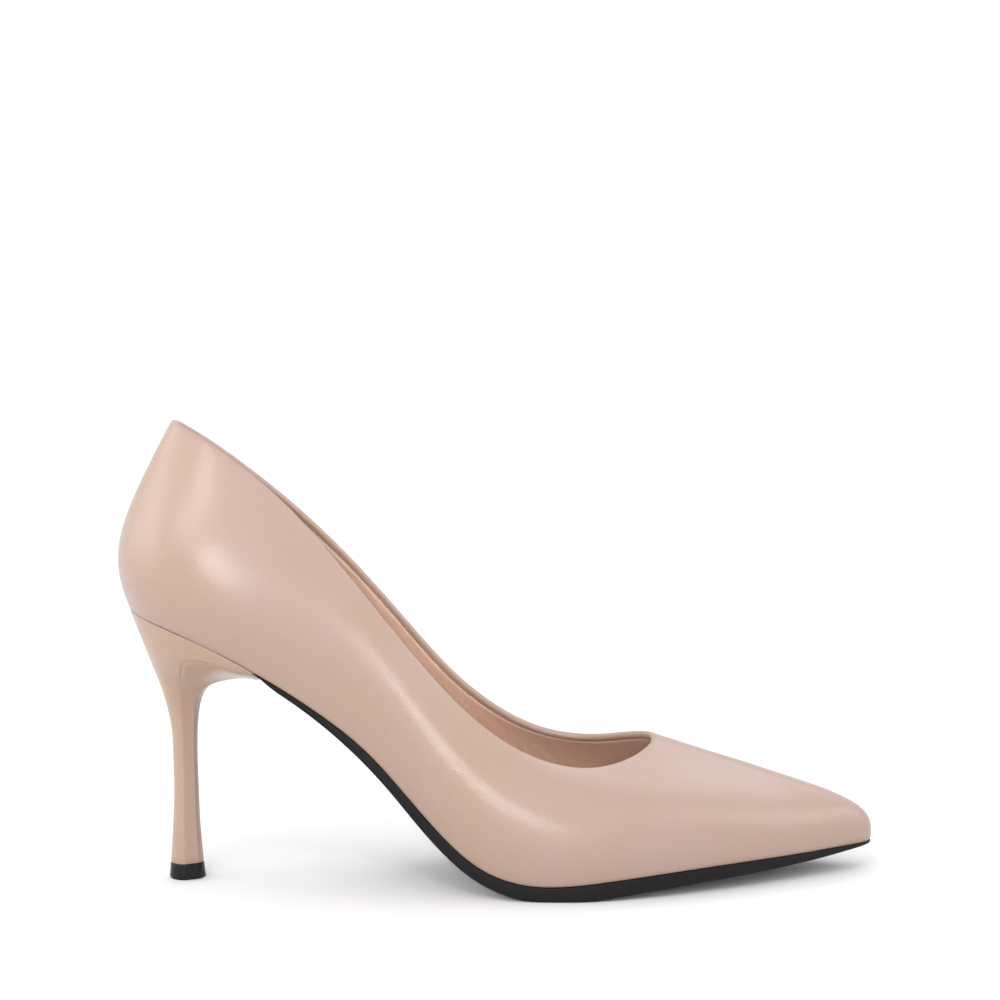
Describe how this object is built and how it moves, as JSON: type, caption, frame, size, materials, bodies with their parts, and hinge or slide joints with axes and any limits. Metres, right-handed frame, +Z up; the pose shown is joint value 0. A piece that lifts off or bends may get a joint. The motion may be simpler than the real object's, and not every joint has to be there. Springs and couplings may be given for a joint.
{
  "type": "high heel pump",
  "caption": "Pointed-toe court pump with a slim stiletto heel: leather upper with a folded topline, lining, insole, steel shank, outsole, covered heel and top lift.",
  "frame": {"origin": "on the ground, under the middle of the shoe's bounding box", "axes": "+X towards the toe, +Y towards the medial (inner) side of this right shoe, +Z up"},
  "size_m": [0.2434, 0.078, 0.1479],
  "materials": {
    "upper_leather": "smooth semi-gloss nude leather",
    "heel_cover_leather": "smooth semi-gloss nude leather, skived thin",
    "lining": "matte pinkish brown lining leather",
    "sock": "matte lining leather",
    "cloth_tape": "woven cotton tape",
    "backing_cloth": "thin woven backing",
    "fibre_stiffener": "resin-stiffened fleece",
    "insole_fibreboard": "pressed cellulose board",
    "steel": "plain steel",
    "cork": "granulated cork sheet",
    "foam": "open-cell latex foam",
    "outsole_rubber": "semi-matte black resin rubber",
    "heel_plastic": "moulded ABS",
    "lift_plastic": "black polyurethane, slightly glossy"
  },
  "bodies": {
    "root": {"upper_leather": "upper_leather", "topline_tape": "cloth_tape", "back_seam_tape": "cloth_tape", "heel_counter": "fibre_stiffener", "toe_puff": "fibre_stiffener", "interlining": "backing_cloth", "vamp_lining": "lining", "quarter_lining_lateral": "lining", "quarter_lining_medial": "lining", "heel_grip": "lining", "insole_board": "insole_fibreboard", "shank_board": "insole_fibreboard", "steel_shank": "steel", "shank_rivets": "steel", "bottom_filler": "cork", "forepart_pad": "foam", "heel_pad": "foam", "sock_lining": "sock", "outsole": "outsole_rubber", "heel_core": "heel_plastic", "heel_cover": "heel_cover_leather", "heel_dowel": "steel", "heel_screw": "steel", "heel_nails": "steel", "top_lift": "lift_plastic", "top_lift_pin": "steel"}
  },
  "joints": []
}
